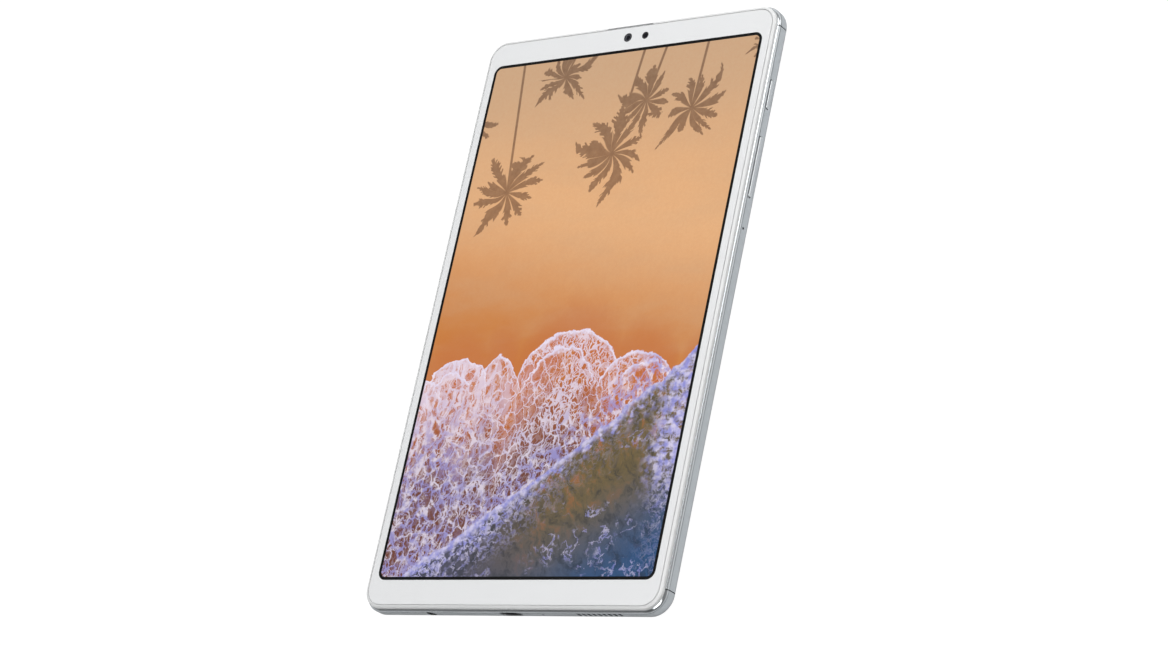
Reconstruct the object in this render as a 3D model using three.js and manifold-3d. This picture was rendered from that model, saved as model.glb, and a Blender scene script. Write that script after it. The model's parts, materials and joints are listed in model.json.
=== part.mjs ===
// Tablet computer with an 8.7 inch screen, in millimetres.
// It lies on its back: screen facing +Z, top edge towards +Y, side keys towards +X.
// The origin is the centre of the flat back, so the back is z = 0 and the glass is the highest face.

import * as THREE from 'three';
import { mergeVertices } from 'three/addons/utils/BufferGeometryUtils.js';
import Module from 'manifold-3d';

const wasm = await Module();
wasm.setup();

// ---------- driving dimensions ----------

const WIDTH = 124.7; // across the side walls
const HEIGHT = 212.5; // from bottom edge to top edge
const THICKNESS = 8;
const CORNER = 7.4; // plan radius of the side wall
const CORNER_EASE = 0.68; // how much the plan radius shrinks for each millimetre of inset
const REAR_ROUND = 2.7; // radius between the back and the side wall
const SHOULDER = { inset: 0.75, from: 5.1, to: 6.1 }; // upper edge of the metal, leaning inwards
const WALL = 1.35; // side wall
const FLOOR = 0.8; // back wall
const SEAM_Y = 98.4; // where the end caps meet the metal shell
const SEAM_GAP = 0.2;

const GLASS = { inset: 1.95, bottom: 7.45, top: THICKNESS, chamfer: 0.12 };
const RIM = { outer: 0.81, inner: 1.8, skirt: 1.5, seam: 6.2, crest: 7.75 };
const ACTIVE = { width: 113.28, height: 189.74 }; // lit area of the 8.7 inch panel
const MID_PLATE = { bottom: 4.9, top: 5.3 };
const BOARD = { bottom: 2.0, top: 2.8 };
const BATTERY = { x: [-50, 50], y: [-78.5, 46.5], z: [1.05, 4.15] };

const KEY = { z: 4.02, height: 1.4, gap: 0.25, proud: 0.35, flange: [60.0, 60.5] };
const POWER_KEY_Y = [68.4, 78.8];
const VOLUME_KEY_Y = [36.5, 58.1];
const PLUNGER = { tip: 59.6, radius: 0.6, offset: 8 }; // offset: from the rocker's middle
const SIDE_MIC = { y: 25.3, z: 3.9, radius: 0.45 };

const SLOTS = { count: 9, pitch: 2.05, first: 28.0, width: 1.2, height: 2.4, z: 3.95 };
const USB = { x: 0, z: 3.6, width: 8.94, height: 3.2, wall: 0.3, mouth: 105.95, length: 7.3 };
const JACK = { x: -34, z: 3.45, bore: 1.75, width: 6.4, front: 104.75, length: 13 };
const BOTTOM_MIC = { x: 13.2, z: 3.7, radius: 0.45 };

const FRONT_CAMERA = { x: 0, y: 100.5 };
const LIGHT_SENSOR = { x: 7.45, y: 100.45 };
const REAR_CAMERA = { x: 50, y: 90.5, hole: 4.3 };
const EARPIECE_SLOT = { halfLength: 10, y: [104.3, 105.0], floor: 6.6 };

const TRAY = { face: [57.8, 76.2], z: 3.65, arm: [58.8, 71.2], armThick: 0.8, end: -37.8 };
const EJECT = { y: 73.8, half: 0.4, lever: [-35.6, -34.6], pivotY: 70.5 };
const SCREWS = [[-54.5, 84], [41.5, 92], [-46, -88], [16, -86]];
const SCREW = { head: 1.4, shank: 0.7, headZ: [1.25, 1.95], tip: 4.7, boss: 1.7, bore: 0.82 };

const HALF_W = WIDTH / 2;
const HALF_H = HEIGHT / 2;

// ---------- materials ----------

function finish(color, roughness, metalness) {
  return new THREE.MeshStandardMaterial({ color, roughness, metalness });
}

const silver = finish(0xb4b8ba, 0.35, 0.9);
const silverPaint = finish(0xaeb2b4, 0.4, 0.6);
const whitePlastic = finish(0xe9eaeb, 0.4, 0);
const coverGlass = finish(0xf3f4f5, 0.05, 0);
const panelBlack = finish(0x17181a, 0.2, 0);
const lightGuide = finish(0xeaf0f2, 0.2, 0);
const film = finish(0xf6f6f2, 0.6, 0);
const steel = finish(0x9b9c9e, 0.35, 1);
const magnesium = finish(0x74777a, 0.5, 0.8);
const flexOrange = finish(0xb4702c, 0.45, 0);
const boardGreen = finish(0x1d4a35, 0.5, 0);
const chipBlack = finish(0x222224, 0.6, 0);
const pouch = finish(0x55585c, 0.35, 0.5);
const darkPlastic = finish(0x2b2c2e, 0.6, 0);
const lensBlack = finish(0x0c0d10, 0.08, 0);
const rubber = finish(0x3a3b3d, 0.9, 0);
const woven = finish(0x8c8f92, 0.7, 0.4);
const adhesive = finish(0x1c1c1e, 0.8, 0);

// ---------- solids ----------

function solid(geometry) {
  const plain = geometry.clone();
  plain.deleteAttribute('normal');
  plain.deleteAttribute('uv');
  const merged = mergeVertices(plain);
  return new wasm.Manifold(new wasm.Mesh({
    numProp: 3,
    vertProperties: new Float32Array(merged.attributes.position.array),
    triVerts: new Uint32Array(merged.index.array),
  }));
}

function geometryOf(manifold) {
  const mesh = manifold.getMesh();
  const geometry = new THREE.BufferGeometry();
  geometry.setAttribute('position', new THREE.Float32BufferAttribute(mesh.vertProperties, 3));
  geometry.setIndex(new THREE.Uint32BufferAttribute(mesh.triVerts, 1));
  return geometry;
}

function cut(geometry, ...tools) {
  return geometryOf(tools.reduce((left, tool) => left.subtract(solid(tool)), solid(geometry)));
}

function join(geometry, ...others) {
  return geometryOf(others.reduce((sum, other) => sum.add(solid(other)), solid(geometry)));
}

function inside(geometry, limit) {
  return geometryOf(solid(geometry).intersect(solid(limit)));
}

function block([x0, x1], [y0, y1], [z0, z1]) {
  const geometry = new THREE.BoxGeometry(x1 - x0, y1 - y0, z1 - z0);
  return geometry.translate((x0 + x1) / 2, (y0 + y1) / 2, (z0 + z1) / 2);
}

function disc(radius, [z0, z1], x, y, sides = 24) {
  const geometry = new THREE.CylinderGeometry(radius, radius, z1 - z0, sides);
  return geometry.rotateX(Math.PI / 2).translate(x, y, (z0 + z1) / 2);
}

function roundedRect(width, height, radius, x = 0, y = 0) {
  const dx = width / 2 - radius;
  const dy = height / 2 - radius;
  const shape = new THREE.Shape();
  [[dx, dy], [-dx, dy], [-dx, -dy], [dx, -dy]].forEach(([cx, cy], quarter) => {
    const start = quarter * Math.PI / 2;
    shape.absarc(x + cx, y + cy, radius, start, start + Math.PI / 2);
  });
  return shape;
}

function polygon(points) {
  return new THREE.Shape(points.map(([x, y]) => new THREE.Vector2(x, y)));
}

function slab(shape, [z0, z1], segments = 4) {
  const options = { depth: z1 - z0, bevelEnabled: false, curveSegments: segments };
  return new THREE.ExtrudeGeometry(shape, options).translate(0, 0, z0);
}

const X = new THREE.Vector3(1, 0, 0);
const Y = new THREE.Vector3(0, 1, 0);
const Z = new THREE.Vector3(0, 0, 1);

// A shape drawn in (y, z), extruded along x
function alongX(shape, [x0, x1], segments = 4) {
  return slab(shape, [x0, x1], segments).applyMatrix4(new THREE.Matrix4().makeBasis(Y, Z, X));
}

// A shape drawn in (x, z), extruded along y
function alongY(shape, [y0, y1], segments = 4) {
  const turn = new THREE.Matrix4().makeBasis(X, Z, Y.clone().negate());
  return slab(shape, [-y1, -y0], segments).applyMatrix4(turn);
}

function hole(axis, radius, u, v, range, sides = 20) {
  const circle = new THREE.Shape().absarc(u, v, radius, 0, 2 * Math.PI);
  return axis(circle, range, sides / 2);
}

// The tablet's outline, moved inwards by inset, as one loop of points at height z
function outline(inset, z, corner = CORNER - CORNER_EASE * inset) {
  const shape = roundedRect(WIDTH - 2 * inset, HEIGHT - 2 * inset, corner);
  return shape.getPoints(4).map((point) => new THREE.Vector3(point.x, point.y, z));
}

function skin(loops, closed) {
  const count = loops[0].length;
  const index = [];
  for (let k = 0; k < (closed ? loops.length : loops.length - 1); k++) {
    const next = (k + 1) % loops.length;
    for (let i = 0; i < count; i++) {
      const j = (i + 1) % count;
      const [a, b, c, d] = [k * count + i, k * count + j, next * count + j, next * count + i];
      index.push(a, b, c, a, c, d);
    }
  }
  const last = (loops.length - 1) * count;
  for (let i = 1; i + 1 < count && !closed; i++) {
    index.push(0, i + 1, i, last, last + i, last + i + 1);
  }
  const geometry = new THREE.BufferGeometry().setFromPoints(loops.flat());
  geometry.setIndex(index);
  return geometry;
}

// Closed body through outlines given as [inset, z], lowest first
function loft(levels) {
  return skin(levels.map(([inset, z, corner]) => outline(inset, z, corner)), false);
}

// Ring whose section is given as [inset, z], up the outside and down the inside
function ring(section) {
  return skin(section.map(([inset, z, corner]) => outline(inset, z, corner)), true);
}

// Flat ribbon of constant thickness along a path in (y, z)
function ribbon(path, thickness, xRange) {
  const points = path.map(([y, z]) => new THREE.Vector2(y, z));
  const side = (sign) => points.map((point, i) => {
    const before = points[Math.max(i - 1, 0)];
    const after = points[Math.min(i + 1, points.length - 1)];
    const along = after.clone().sub(before).normalize();
    return point.clone().add(new THREE.Vector2(-along.y, along.x).multiplyScalar(sign * thickness / 2));
  });
  return alongX(new THREE.Shape([...side(-1), ...side(1).reverse()]), xRange);
}

// ---------- tree ----------

const tablet = new THREE.Group();

function add(parent, name, geometry, material) {
  const mesh = new THREE.Mesh(geometry, material);
  mesh.name = name;
  parent.add(mesh);
}

// ---------- casing ----------

function bodySolid() {
  const rear = [0, 1, 2, 3, 4, 5].map((step) => {
    const angle = step * Math.PI / 10;
    return [REAR_ROUND * (1 - Math.sin(angle)), REAR_ROUND * (1 - Math.cos(angle))];
  });
  const rise = SHOULDER.to - SHOULDER.from;
  const shoulder = [
    [0, SHOULDER.from],
    [SHOULDER.inset * 0.28, SHOULDER.from + rise * 0.55],
    [SHOULDER.inset, SHOULDER.to],
  ];
  return loft([...rear, ...shoulder]);
}

function cavitySolid() {
  const reach = REAR_ROUND - WALL;
  const rise = REAR_ROUND - FLOOR;
  const levels = [0, 1, 2, 3, 4].map((step) => {
    const angle = step * Math.PI / 8;
    return [REAR_ROUND - reach * Math.sin(angle), REAR_ROUND - rise * Math.cos(angle)];
  });
  return loft([...levels, [WALL, THICKNESS]]);
}

function keySlot([y0, y1]) {
  const height = KEY.height + 2 * KEY.gap;
  const width = y1 - y0 + 2 * KEY.gap;
  const shape = roundedRect(width, height, height * 0.45, (y0 + y1) / 2, KEY.z);
  return alongX(shape, [HALF_W - 2 * WALL, HALF_W + 1]);
}

function trayOpening() {
  const [y0, y1] = TRAY.face;
  const shape = roundedRect(y1 - y0 + 0.36, 2.36, 1, (y0 + y1) / 2, TRAY.z + 0.1);
  return alongX(shape, [-HALF_W - 1, -HALF_W + 2 * WALL]);
}

function speakerSlots(sign) {
  const range = sign > 0 ? [HALF_H - 2 * WALL, HALF_H + 1] : [-HALF_H - 1, -HALF_H + 2 * WALL];
  return Array.from({ length: SLOTS.count }, (_, i) => {
    const x = -sign * (SLOTS.first + i * SLOTS.pitch);
    const shape = roundedRect(SLOTS.width, SLOTS.height, SLOTS.width * 0.49, x, SLOTS.z);
    return alongY(shape, range, 2);
  });
}

function between(y0, y1) {
  return block([-HALF_W - 1, HALF_W + 1], [y0, y1], [-1, THICKNESS + 1]);
}

function rearShell() {
  const middle = inside(bodySolid(), between(-SEAM_Y + SEAM_GAP / 2, SEAM_Y - SEAM_GAP / 2));
  return cut(
    middle,
    cavitySolid(),
    keySlot(POWER_KEY_Y),
    keySlot(VOLUME_KEY_Y),
    hole(alongX, SIDE_MIC.radius, SIDE_MIC.y, SIDE_MIC.z, [HALF_W - 2 * WALL, HALF_W + 1], 12),
    trayOpening(),
    disc(REAR_CAMERA.hole, [-1, FLOOR + 1], REAR_CAMERA.x, REAR_CAMERA.y, 32),
  );
}

function topEndCap() {
  const end = inside(bodySolid(), between(SEAM_Y + SEAM_GAP / 2, HALF_H + 1));
  return cut(end, cavitySolid(), ...speakerSlots(1));
}

function bottomEndCap() {
  const end = inside(bodySolid(), between(-HALF_H - 1, -SEAM_Y - SEAM_GAP / 2));
  const through = [-HALF_H - 1, -HALF_H + 3];
  const port = roundedRect(USB.width + 0.2, USB.height + 0.2, USB.height * 0.5, USB.x, USB.z);
  const halfJack = JACK.width / 2 + 0.15;
  return cut(
    end,
    cavitySolid(),
    ...speakerSlots(-1),
    alongY(port, through, 5),
    hole(alongY, JACK.bore + 0.05, JACK.x, JACK.z, through, 24),
    block([JACK.x - halfJack, JACK.x + halfJack], [-JACK.front - 0.15, -95], [1.4, 7]),
    hole(alongY, BOTTOM_MIC.radius, BOTTOM_MIC.x, BOTTOM_MIC.z, through, 12),
  );
}

function frontFrame() {
  const section = [
    [RIM.outer, RIM.seam],
    [RIM.outer, RIM.crest - 0.6],
    [RIM.outer + 0.08, RIM.crest - 0.39],
    [RIM.outer + 0.3, RIM.crest - 0.27],
    [RIM.inner, RIM.crest],
    [RIM.inner, GLASS.bottom - 0.1],
    [3.7, GLASS.bottom - 0.1],
    [3.7, 6.55],
    [2.7, 6.4],
    [2.7, 5.45],
    [RIM.skirt, 5.45],
    [RIM.skirt, RIM.seam],
  ];
  const { halfLength, y, floor } = EARPIECE_SLOT;
  return cut(ring(section), block([-halfLength, halfLength], y, [floor, THICKNESS + 1]));
}

function addCasing() {
  const casing = new THREE.Group();
  add(casing, 'rear_shell', rearShell(), silver);
  add(casing, 'top_end_cap', topEndCap(), silverPaint);
  add(casing, 'bottom_end_cap', bottomEndCap(), silverPaint);
  add(casing, 'front_frame', frontFrame(), whitePlastic);
  tablet.add(casing);
}

// ---------- screen ----------

function glassPlate() {
  const { inset, bottom, top, chamfer } = GLASS;
  const corner = CORNER - CORNER_EASE * inset;
  return loft([[inset, bottom], [inset, top - chamfer], [inset + chamfer, top, corner]]);
}

function backlightPan(x, y) {
  const outer = block([-x, x], y, [5.4, 6.42]);
  return cut(outer, block([-x + 0.2, x - 0.2], [y[0] + 0.2, y[1] - 0.2], [5.55, 7]));
}

function addScreen() {
  const screen = new THREE.Group();
  const tape = [[2.5, 7.37], [2.5, 7.43], [3.6, 7.43], [3.6, 7.37]];
  const halfPanel = ACTIVE.width / 2 + 0.96;
  const panelY = [-ACTIVE.height / 2 - 4.03, ACTIVE.height / 2 + 1.53];
  const guideY = [panelY[0] + 1.7, panelY[1] - 0.1];
  add(screen, 'cover_glass', glassPlate(), coverGlass);
  add(screen, 'glass_tape', ring(tape), adhesive);
  add(screen, 'display_panel', block([-halfPanel, halfPanel], panelY, [6.45, 7.35]), panelBlack);
  add(screen, 'diffuser_film', block([-57.5, 57.5], guideY, [6.2, 6.36]), film);
  add(screen, 'light_guide', block([-57.5, 57.5], guideY, [5.62, 6.14]), lightGuide);
  add(screen, 'led_strip', block([-50, 50], [-98.8, -97.4], [5.62, 6.1]), film);
  add(screen, 'backlight_pan', backlightPan(58, [panelY[0] - 0.4, panelY[1] + 0.4]), steel);
  const tail = [[-99, 6.9], [-100.8, 6.86], [-101.3, 6.4], [-101.3, 4.2], [-100.8, 3.6], [-94, 3.4]];
  add(screen, 'display_flex', ribbon(tail, 0.15, [7, 21]), flexOrange);
  tablet.add(screen);
}

// ---------- inner frame, battery and boards ----------

function midPlate() {
  const { bottom, top } = MID_PLATE;
  const through = [bottom - 1, top + 1];
  const plate = slab(roundedRect(118.6, 206, 5), [bottom, top]);
  const bosses = SCREWS.map(([x, y]) => disc(SCREW.boss, [BOARD.top + 0.1, bottom + 0.2], x, y, 16));
  const bores = SCREWS.map(([x, y]) => disc(SCREW.bore, [1, top + 1], x, y, 12));
  return cut(
    join(plate, ...bosses),
    ...bores,
    block([-3.1, 3.1], [97.4, 104], through),
    block([-17.3, -4.7], [98, 104], through),
    block([6.5, 21.5], [-102.3, -100.2], through),
    block([-4.9, 4.9], [-104, -98.3], through),
    block([JACK.x - 3.5, JACK.x + 3.5], [-104, -91.4], through),
  );
}

function drilledBoard(outlinePoints, notches = []) {
  const board = slab(polygon(outlinePoints), [BOARD.bottom, BOARD.top]);
  const holes = SCREWS.map(([x, y]) => disc(0.95, [BOARD.bottom - 1, BOARD.top + 1], x, y, 12));
  return cut(board, ...holes, ...notches);
}

function mainBoard() {
  return drilledBoard([
    [-57.5, 52], [56, 52], [56, 85.2], [44.5, 85.2],
    [44.5, 96], [-23.5, 96], [-23.5, 87.2], [-57.5, 87.2],
  ]);
}

function subBoard() {
  const depth = [BOARD.bottom - 1, BOARD.top + 1];
  return drilledBoard([[-50, -103], [20, -103], [20, -83], [-50, -83]], [
    block([-4.8, 4.8], [-104, -98.3], depth),
    block([JACK.x - 3.5, JACK.x + 3.5], [-104, -91.4], depth),
  ]);
}

// Sheet metal lid over a group of chips, open towards the board
function shieldCan(x, y) {
  const wall = 0.3;
  const inner = [[x[0] + wall, x[1] - wall], [y[0] + wall, y[1] - wall]];
  return cut(block(x, y, [2.85, 4.6]), block(inner[0], inner[1], [2, 4.35]));
}

function screw() {
  const { head, shank, headZ, tip } = SCREW;
  const profile = [
    [0, headZ[0] + 0.35], [0.5, headZ[0] + 0.35], [0.6, headZ[0]], [head - 0.2, headZ[0]],
    [head, headZ[0] + 0.25], [head, headZ[1]], [shank, headZ[1]], [shank, tip - 0.4], [0, tip],
  ];
  const points = profile.map(([radius, z]) => new THREE.Vector2(radius, z));
  return new THREE.LatheGeometry(points, 12).rotateX(Math.PI / 2);
}

function addInside() {
  const frame = new THREE.Group();
  const battery = roundedRect(
    BATTERY.x[1] - BATTERY.x[0], BATTERY.y[1] - BATTERY.y[0], 2.5, 0, (BATTERY.y[0] + BATTERY.y[1]) / 2,
  );
  const lead = [[47.4, 3.2], [50.6, 3.2], [52.6, 3.35], [58, 3.35]];
  const link = [[57.2, 3.4], [54, 3.4], [50.5, 4.37], [-80.5, 4.37], [-84.5, 3.4], [-89.5, 3.4]];
  add(frame, 'mid_plate', midPlate(), magnesium);
  add(frame, 'battery_pack', slab(battery, BATTERY.z), pouch);
  add(frame, 'battery_circuit', block([-36, 36], [47, 50.8], [1.6, 3]), boardGreen);
  add(frame, 'battery_lead', ribbon(lead, 0.2, [24, 30]), flexOrange);
  add(frame, 'main_board', mainBoard(), boardGreen);
  add(frame, 'processor_shield', shieldCan([-28, 4], [62, 86.5]), steel);
  add(frame, 'power_shield', shieldCan([8, 40], [60, 75]), steel);
  add(frame, 'radio_shield', shieldCan([8, 30], [78, 94]), steel);
  add(frame, 'processor_chip', block([-24, -10], [66, 80], [2.85, 3.9]), chipBlack);
  add(frame, 'memory_chip', block([-9, 2.5], [66, 79], [2.85, 3.8]), chipBlack);
  add(frame, 'power_chip', block([14, 20], [64, 70], [2.85, 3.6]), chipBlack);
  add(frame, 'sub_board', subBoard(), boardGreen);
  add(frame, 'main_flex', ribbon(link, 0.15, [-6, 6]), flexOrange);
  add(frame, 'wifi_antenna', block([12, 42], [97.5, 103], [2.5, 4.6]), darkPlastic);
  SCREWS.forEach(([x, y], i) => {
    add(frame, `board_screw_${i + 1}`, screw().translate(x, y, 0), steel);
  });
  tablet.add(frame);
}

// ---------- ports ----------

function usbShape(shrink) {
  const height = USB.height - 2 * shrink;
  return roundedRect(USB.width - 2 * shrink, height, height * 0.49, USB.x, USB.z);
}

function usbShell() {
  const range = [-USB.mouth, -USB.mouth + USB.length];
  return cut(alongY(usbShape(0), range, 5), alongY(usbShape(USB.wall), [range[0] - 1, range[1] + 1], 5));
}

function usbTongue() {
  const rear = -USB.mouth + USB.length;
  const base = alongY(usbShape(USB.wall + 0.05), [rear - 1, rear - 0.1], 5);
  const blade = block([-3.35, 3.35], [-104.9, rear - 0.5], [USB.z - 0.35, USB.z + 0.35]);
  return join(base, blade);
}

function headphoneJack() {
  const range = [-JACK.front, -JACK.front + JACK.length];
  const halfWidth = JACK.width / 2;
  const housing = block([JACK.x - halfWidth, JACK.x + halfWidth], range, [1.55, 5.25]);
  return cut(housing, hole(alongY, JACK.bore, JACK.x, JACK.z - 0.05, [range[0] - 1, range[1] - 0.8], 24));
}

function addPorts() {
  const ports = new THREE.Group();
  add(ports, 'usb_c_shell', usbShell(), steel);
  add(ports, 'usb_c_tongue', usbTongue(), darkPlastic);
  add(ports, 'headphone_jack', headphoneJack(), darkPlastic);
  const micX = [BOTTOM_MIC.x - 1.8, BOTTOM_MIC.x + 1.8];
  add(ports, 'bottom_microphone', block(micX, [-104.4, -102.2], [2.9, 4.1]), steel);
  const micY = [SIDE_MIC.y - 1.6, SIDE_MIC.y + 1.6];
  add(ports, 'side_microphone', block([58.8, 60.6], micY, [3.2, 4.6]), steel);
  tablet.add(ports);
}

// ---------- sound ----------

// Sealed loudspeaker box with a round membrane recess on the screen side
function speakerBox(x, y) {
  const centre = [(x[0] + x[1]) / 2, (y[0] + y[1]) / 2];
  return cut(block(x, y, [1.15, 4.7]), disc(5, [4.2, 6], centre[0], centre[1], 20));
}

function addSound() {
  const sound = new THREE.Group();
  const slotsX = [SLOTS.first - 1, SLOTS.first + (SLOTS.count - 1) * SLOTS.pitch + 1];
  const meshZ = [SLOTS.z - 1.05, SLOTS.z + 1.3];
  const { halfLength, y } = EARPIECE_SLOT;
  add(sound, 'bottom_speaker', speakerBox([24, 54], [-102.6, -88.5]), darkPlastic);
  add(sound, 'bottom_speaker_mesh', block(slotsX, [-104.7, -104.45], meshZ), woven);
  add(sound, 'top_speaker', speakerBox([-55, -25], [88.5, 102.6]), darkPlastic);
  add(sound, 'top_speaker_mesh', block([-slotsX[1], -slotsX[0]], [104.45, 104.7], meshZ), woven);
  add(sound, 'earpiece', block([-17, -5], [98.3, 103.2], [3.6, 6.1]), darkPlastic);
  const meshX = [-halfLength + 0.15, halfLength - 0.15];
  add(sound, 'earpiece_mesh', block(meshX, [y[0] + 0.22, y[1] - 0.1], [7.05, 7.3]), woven);
  tablet.add(sound);
}

// ---------- cameras and sensor ----------

function frontCamera() {
  const { x, y } = FRONT_CAMERA;
  const housing = block([x - 2.8, x + 2.8], [y - 2.8, y + 2.8], [3.9, 6.2]);
  return join(housing, disc(1.9, [6.1, 7.2], x, y, 24));
}

function rearCameraBody() {
  const { x, y } = REAR_CAMERA;
  const housing = block([x - 4.25, x + 4.25], [y - 4.25, y + 4.25], [1, 4.7]);
  return cut(housing, disc(2.85, [0, 3.9], x, y, 32));
}

function rearCameraBarrel() {
  const { x, y } = REAR_CAMERA;
  return cut(disc(2.6, [1.4, 3.4], x, y, 32), disc(1.4, [1, 1.9], x, y, 20));
}

function cameraTrimRing() {
  const { x, y, hole: radius } = REAR_CAMERA;
  const outer = disc(radius - 0.1, [0, 0.75], x, y, 32);
  return cut(outer, disc(2.9, [-1, 1], x, y, 32), disc(3.3, [0.3, 1], x, y, 32));
}

function addCameras() {
  const cameras = new THREE.Group();
  const { x, y } = LIGHT_SENSOR;
  add(cameras, 'front_camera', frontCamera(), lensBlack);
  add(cameras, 'light_sensor', block([x - 1.1, x + 1.1], [y - 1.1, y + 1.1], [6.3, 7.2]), chipBlack);
  add(cameras, 'rear_camera_body', rearCameraBody(), darkPlastic);
  add(cameras, 'rear_camera_barrel', rearCameraBarrel(), lensBlack);
  add(cameras, 'camera_trim_ring', cameraTrimRing(), silver);
  add(cameras, 'camera_window', disc(3.2, [0.35, 0.75], REAR_CAMERA.x, REAR_CAMERA.y, 32), lensBlack);
  tablet.add(cameras);
}

// ---------- side keys ----------

// Key cap through the wall slot, a wider flange behind the wall and plungers towards the switches
function keyPiece([y0, y1], plungerYs) {
  const middle = (y0 + y1) / 2;
  const cap = roundedRect(y1 - y0, KEY.height, KEY.height * 0.45, middle, KEY.z);
  const plungers = plungerYs.map((y) => {
    return hole(alongX, PLUNGER.radius, y, KEY.z, [PLUNGER.tip, KEY.flange[0] + 0.2], 12);
  });
  return join(
    alongX(cap, [KEY.flange[1] - 0.1, HALF_W + KEY.proud]),
    block(KEY.flange, [y0 - 0.8, y1 + 0.8], [KEY.z - 1.15, KEY.z + 1.15]),
    ...plungers,
  );
}

function tactSwitch(y) {
  const base = block([57.7, 58.7], [y - 1.8, y + 1.8], [KEY.z - 0.7, KEY.z + 0.65]);
  return join(base, hole(alongX, 1, y, KEY.z, [58.5, PLUNGER.tip - 0.45], 12).scale(1, 1, 0.6)
    .translate(0, 0, KEY.z * 0.4));
}

function addKeys() {
  const keys = new THREE.Group();
  const powerY = (POWER_KEY_Y[0] + POWER_KEY_Y[1]) / 2;
  const volumeY = (VOLUME_KEY_Y[0] + VOLUME_KEY_Y[1]) / 2;
  const switchYs = [volumeY + PLUNGER.offset, volumeY - PLUNGER.offset];
  add(keys, 'power_key', keyPiece(POWER_KEY_Y, [powerY]), silver);
  add(keys, 'volume_key', keyPiece(VOLUME_KEY_Y, switchYs), silver);
  add(keys, 'key_bracket', block([57.3, 57.6], [33.5, 81.5], [1.6, 4.75]), steel);
  add(keys, 'power_switch', tactSwitch(powerY), steel);
  add(keys, 'volume_up_switch', tactSwitch(switchYs[0]), steel);
  add(keys, 'volume_down_switch', tactSwitch(switchYs[1]), steel);
  tablet.add(keys);
}

// ---------- memory card tray ----------

function cardTray() {
  const [y0, y1] = TRAY.face;
  const faceShape = roundedRect(y1 - y0, 2, 0.9, (y0 + y1) / 2, TRAY.z + 0.1);
  const face = alongX(faceShape, [-HALF_W, -61.35]);
  const armZ = [TRAY.z - TRAY.armThick / 2, TRAY.z + TRAY.armThick / 2];
  const arm = block([-61.45, TRAY.end], TRAY.arm, armZ);
  const pinHole = hole(alongX, 0.5, EJECT.y, TRAY.z, [-HALF_W - 1, -60], 12);
  const cardWindow = block([-56.3, -41.1], [59.4, 70.6], [0, THICKNESS]);
  return cut(join(face, arm), pinHole, cardWindow);
}

function trayGasket() {
  const armZ = [TRAY.z - TRAY.armThick / 2 - 0.05, TRAY.z + TRAY.armThick / 2 + 0.05];
  const outer = block([-61.3, -60.7], [TRAY.arm[0] - 0.5, TRAY.arm[1] + 0.5], [TRAY.z - 0.75, TRAY.z + 0.75]);
  return cut(outer, block([-62, -60], [TRAY.arm[0] - 0.05, TRAY.arm[1] + 0.05], armZ));
}

// Metal cage on the board, with a guide for the eject rod and the lever's pivot pin
function cardReader() {
  const cage = block([-59.5, -37], [57.9, 72.1], [2.85, 4.6]);
  const foot = block([-37.5, -33.8], [68.6, 72.1], [2.85, 3.05]);
  const pin = disc(0.5, [2.9, 4.3], (EJECT.lever[0] + EJECT.lever[1]) / 2, EJECT.pivotY, 12);
  const guide = block([-50, -47.5], [71.9, 75.3], [2.85, 4.5]);
  return cut(
    join(cage, foot, pin, guide),
    block([-61, -38.4], [58.5, 71.5], [3.05, 4.3]),
    block([-38.5, -36.9], [58.5, 71.5], [3.05, 4.3]),
    block([-51, -46], [EJECT.y - 0.6, EJECT.y + 0.6], [TRAY.z - 0.6, TRAY.z + 0.6]),
  );
}

function ejectLever() {
  const [x0, x1] = EJECT.lever;
  const bar = block([x0, x1], [64.6, 75], [TRAY.z - 0.3, TRAY.z + 0.3]);
  const hub = disc(0.95, [TRAY.z - 0.3, TRAY.z + 0.3], (x0 + x1) / 2, EJECT.pivotY, 16);
  return cut(join(bar, hub), disc(0.6, [0, THICKNESS], (x0 + x1) / 2, EJECT.pivotY, 16));
}

function addCardSlot() {
  const slot = new THREE.Group();
  const rodY = [EJECT.y - EJECT.half, EJECT.y + EJECT.half];
  const rodZ = [TRAY.z - EJECT.half, TRAY.z + EJECT.half];
  add(slot, 'card_tray', cardTray(), silver);
  add(slot, 'tray_gasket', trayGasket(), rubber);
  add(slot, 'card_reader', cardReader(), steel);
  add(slot, 'eject_rod', block([-60.9, EJECT.lever[0] - 0.3], rodY, rodZ), steel);
  add(slot, 'eject_lever', ejectLever(), steel);
  tablet.add(slot);
}

addCasing();
addScreen();
addInside();
addPorts();
addSound();
addCameras();
addKeys();
addCardSlot();

export default tablet;
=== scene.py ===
"""Looks of a tablet computer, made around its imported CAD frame.

The frame is in metres: +Z out of the screen, +Y towards the top edge, +X towards the side keys.
Sizes of the object are in millimetres below, and build() turns them into metres.
"""

import json
import math

import bmesh
import bpy
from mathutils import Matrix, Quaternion, Vector


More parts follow.
